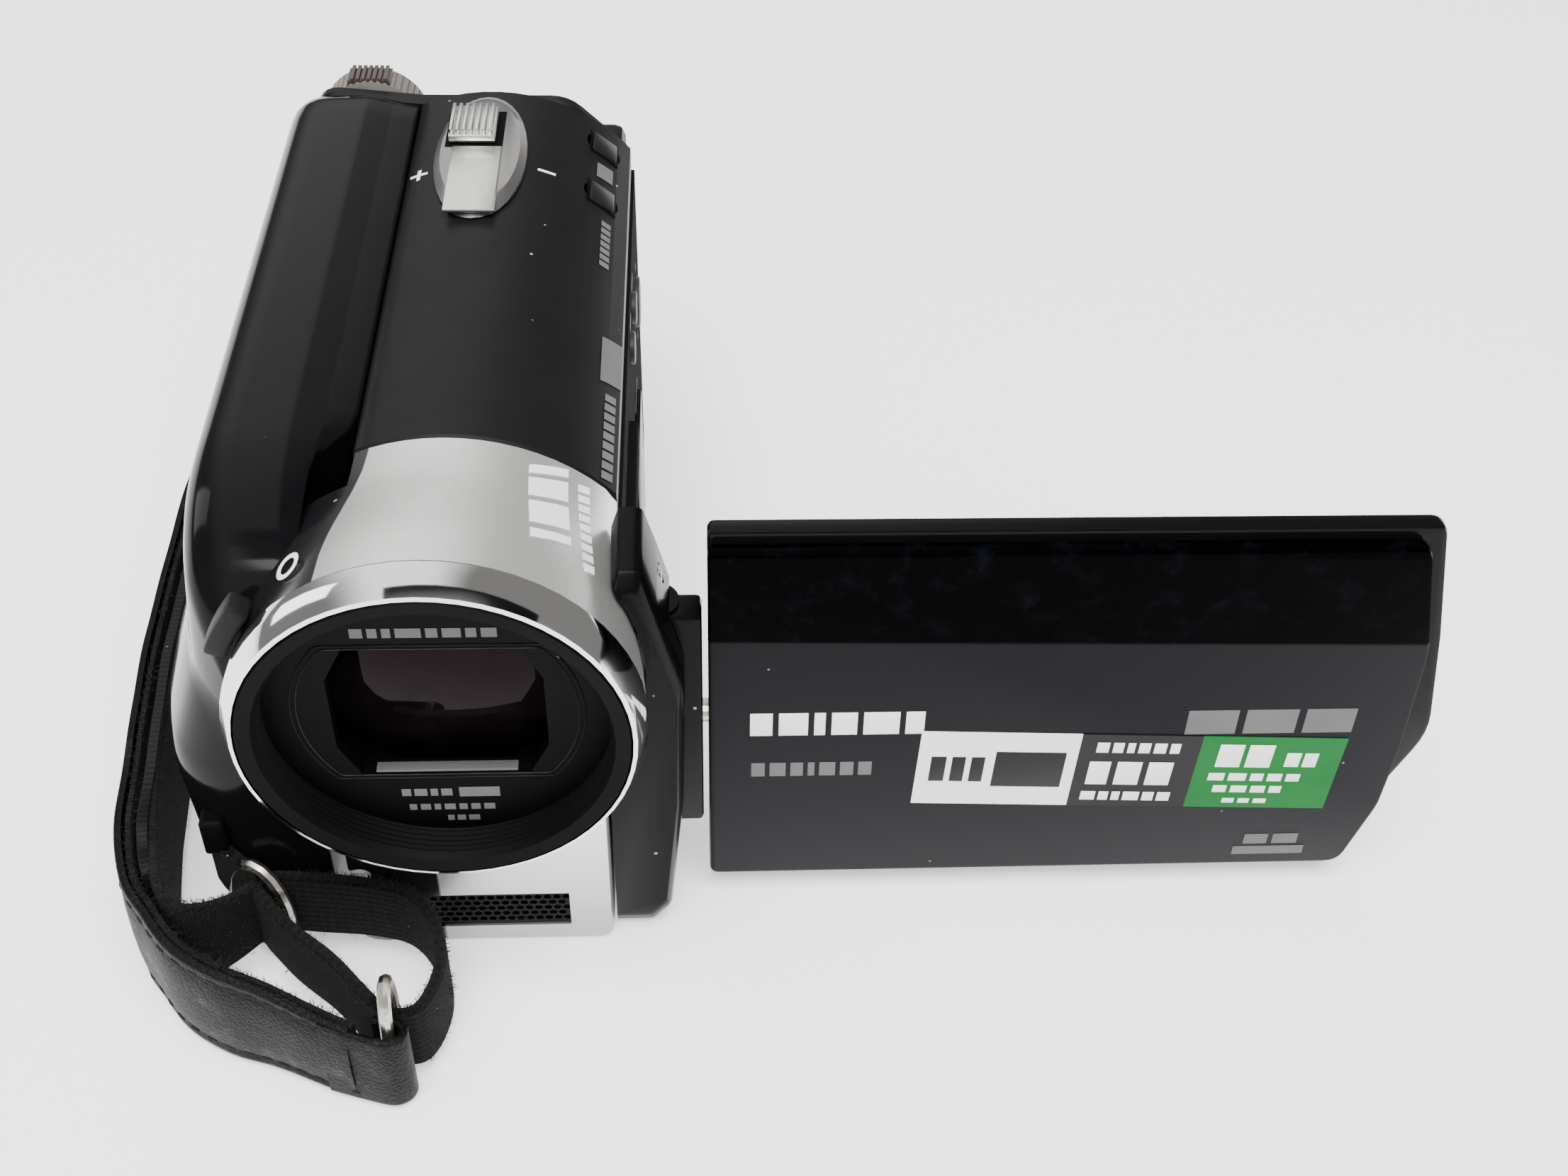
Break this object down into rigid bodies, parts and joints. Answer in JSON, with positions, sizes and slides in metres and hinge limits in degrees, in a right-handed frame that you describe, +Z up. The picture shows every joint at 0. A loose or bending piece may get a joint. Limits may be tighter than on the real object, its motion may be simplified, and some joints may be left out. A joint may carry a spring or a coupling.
{
  "type": "camcorder",
  "caption": "Handheld camcorder with a swing-out screen, a silver lens barrel with sliding cover blades, a zoom lever, a grip shell, a rear battery and a hand strap.",
  "frame": {"origin": "on the flat underside, below the lens axis and 55 mm behind the front edge of the lens ring", "axes": "+Z up, +Y toward the back of the camcorder, +X toward the side that the screen opens to"},
  "size_m": [0.1581, 0.1307, 0.0662],
  "materials": {
    "silver_paint": "satin metallic silver paint",
    "chrome": "satin band with a mirror-bright bevel",
    "satin_black": "satin moulded plastic",
    "gloss_black": "polished piano black",
    "matte_black": "matte",
    "grey_plastic": "fine matte",
    "dark_rubber": "soft matte",
    "steel": "nickel plated",
    "coated_glass": "polished with a purple coating",
    "screen_glass": "polished dark",
    "circuit_board": "solder mask",
    "card_blue": "matte",
    "record_red": "satin",
    "lamp_white": "clear",
    "leather": "grained, with a worn sheen",
    "webbing": "woven, with a velvety hook-and-loop face"
  },
  "bodies": {
    "camera": {"front_housing": "silver_paint", "lens_ring": "chrome", "lens_face_ring": "matte_black", "lens_mask": "matte_black", "front_lens": "coated_glass", "lens_tube": "matte_black", "guide_rod_left": "steel", "guide_rod_right": "steel", "image_sensor": "circuit_board", "grip_shell": "gloss_black", "top_cover": "satin_black", "zoom_pod": "silver_paint", "rear_cover": "satin_black", "side_panel": "satin_black", "hinge_shroud": "satin_black", "hinge_pin": "steel", "base_plate": "satin_black", "tripod_socket": "steel", "base_screw_1": "steel", "base_screw_2": "steel", "main_board": "circuit_board", "hard_drive": "steel", "card_slot": "matte_black", "memory_card": "card_blue", "microphone_left": "steel", "microphone_right": "steel", "mic_grille": "grey_plastic", "status_lamp": "lamp_white", "strap_pad": "leather", "strap_webbing": "webbing", "strap_ring_front": "steel", "strap_ring_rear": "steel", "strap_anchor_front": "matte_black", "strap_anchor_rear": "matte_black"},
    "hinge_arm": {"hinge_block": "satin_black", "tilt_pin": "steel"},
    "screen": {"screen_cover": "gloss_black", "screen_frame": "satin_black", "screen_glass": "screen_glass", "screen_module": "steel"},
    "key_1": {"screen_key_1": "grey_plastic"},
    "key_2": {"screen_key_2": "grey_plastic"},
    "key_3": {"screen_key_3": "grey_plastic"},
    "lens_lever": {"cover_lever": "dark_rubber"},
    "blade_upper": {"cover_blade_upper": "grey_plastic"},
    "blade_lower": {"cover_blade_lower": "grey_plastic"},
    "zoom_knob": {"zoom_lever": "steel"},
    "auto_button": {"top_button_rear": "grey_plastic"},
    "web_button": {"top_button_front": "grey_plastic"},
    "dial": {"mode_dial": "grey_plastic"},
    "record_key": {"record_button": "record_red"},
    "battery_pack": {"battery": "satin_black"},
    "latch": {"battery_latch": "grey_plastic"},
    "card_flap": {"card_door": "satin_black"},
    "jack_flap": {"terminal_cover": "dark_rubber"},
    "menu_key": {"menu_button": "grey_plastic"},
    "delete_key": {"delete_button": "grey_plastic"},
    "stick_key": {"select_stick": "grey_plastic"},
    "zoom_lens": {"zoom_group": "matte_black"},
    "focus_lens": {"focus_group": "matte_black"}
  },
  "joints": [
    {"name": "screen_open", "type": "hinge", "parent": "camera", "child": "hinge_arm", "pos_m": [0.0224, -0.03613, 0.03], "axis": [0, 0, 1], "range_deg": [0, 90]},
    {"name": "screen_tilt", "type": "hinge", "parent": "hinge_arm", "child": "screen", "pos_m": [0.02795, -0.0366, 0.03], "axis": [1, 0, 0], "range_deg": [-90, 180]},
    {"name": "screen_key_1_press", "type": "slide", "parent": "screen", "child": "key_1", "axis": [0, -1, 0], "range_m": [0, 0.0005], "stiffness_N_per_m": 1200},
    {"name": "screen_key_2_press", "type": "slide", "parent": "screen", "child": "key_2", "axis": [0, -1, 0], "range_m": [0, 0.0005], "stiffness_N_per_m": 1200},
    {"name": "screen_key_3_press", "type": "slide", "parent": "screen", "child": "key_3", "axis": [0, -1, 0], "range_m": [0, 0.0005], "stiffness_N_per_m": 1200},
    {"name": "cover_lever_turn", "type": "hinge", "parent": "camera", "child": "lens_lever", "pos_m": [0, -0.0485, 0.0443], "axis": [0, -1, 0], "range_deg": [0, 14]},
    {"name": "blade_upper_slide", "type": "slide", "parent": "camera", "child": "blade_upper", "axis": [0, 0, -1], "range_m": [0, 0.0095]},
    {"name": "blade_lower_slide", "type": "slide", "parent": "camera", "child": "blade_lower", "axis": [0, 0, 1], "range_m": [0, 0.0095]},
    {"name": "zoom_lever_slide", "type": "slide", "parent": "camera", "child": "zoom_knob", "axis": [1, 0, 0], "range_m": [-0.002, 0.002], "stiffness_N_per_m": 150},
    {"name": "auto_button_press", "type": "slide", "parent": "camera", "child": "auto_button", "axis": [-0.6334, 0, -0.7738], "range_m": [0, 0.0006], "stiffness_N_per_m": 1200},
    {"name": "web_button_press", "type": "slide", "parent": "camera", "child": "web_button", "axis": [-0.6334, 0, -0.7738], "range_m": [0, 0.0006], "stiffness_N_per_m": 1200},
    {"name": "mode_dial_turn", "type": "hinge", "parent": "camera", "child": "dial", "pos_m": [-0.017, 0.0537, 0.0546], "axis": [0, 1, 0], "range_deg": [-60, 60]},
    {"name": "record_button_press", "type": "slide", "parent": "camera", "child": "record_key", "axis": [0, -1, 0], "range_m": [0, 0.0006], "stiffness_N_per_m": 1200},
    {"name": "battery_slide", "type": "slide", "parent": "camera", "child": "battery_pack", "axis": [0, 0, 1], "range_m": [0, 0.012]},
    {"name": "battery_latch_slide", "type": "slide", "parent": "camera", "child": "latch", "axis": [1, 0, 0], "range_m": [0, 0.0022], "stiffness_N_per_m": 300},
    {"name": "card_door_open", "type": "hinge", "parent": "camera", "child": "card_flap", "pos_m": [0.012, 0.033, 0.0001], "axis": [0, -1, 0], "range_deg": [0, 100]},
    {"name": "terminal_cover_open", "type": "hinge", "parent": "camera", "child": "jack_flap", "pos_m": [0.0194, 0.007, 0.018], "axis": [0, 0, 1], "range_deg": [-80, 0]},
    {"name": "menu_button_press", "type": "slide", "parent": "camera", "child": "menu_key", "axis": [-1, 0, 0], "range_m": [0, 0.0005], "stiffness_N_per_m": 1200},
    {"name": "delete_button_press", "type": "slide", "parent": "camera", "child": "delete_key", "axis": [-1, 0, 0], "range_m": [0, 0.0005], "stiffness_N_per_m": 1200},
    {"name": "select_stick_press", "type": "slide", "parent": "camera", "child": "stick_key", "axis": [-1, 0, 0], "range_m": [0, 0.0005], "stiffness_N_per_m": 1200},
    {"name": "zoom_group_travel", "type": "slide", "parent": "camera", "child": "zoom_lens", "axis": [0, 1, 0], "range_m": [0, 0.012]},
    {"name": "focus_group_travel", "type": "slide", "parent": "camera", "child": "focus_lens", "axis": [0, 1, 0], "range_m": [0, 0.006]}
  ],
  "couplings": [
    {"joint": "blade_upper_slide", "follows": "cover_lever_turn", "m_per_rad": 0.0388},
    {"joint": "blade_lower_slide", "follows": "cover_lever_turn", "m_per_rad": 0.0388}
  ]
}
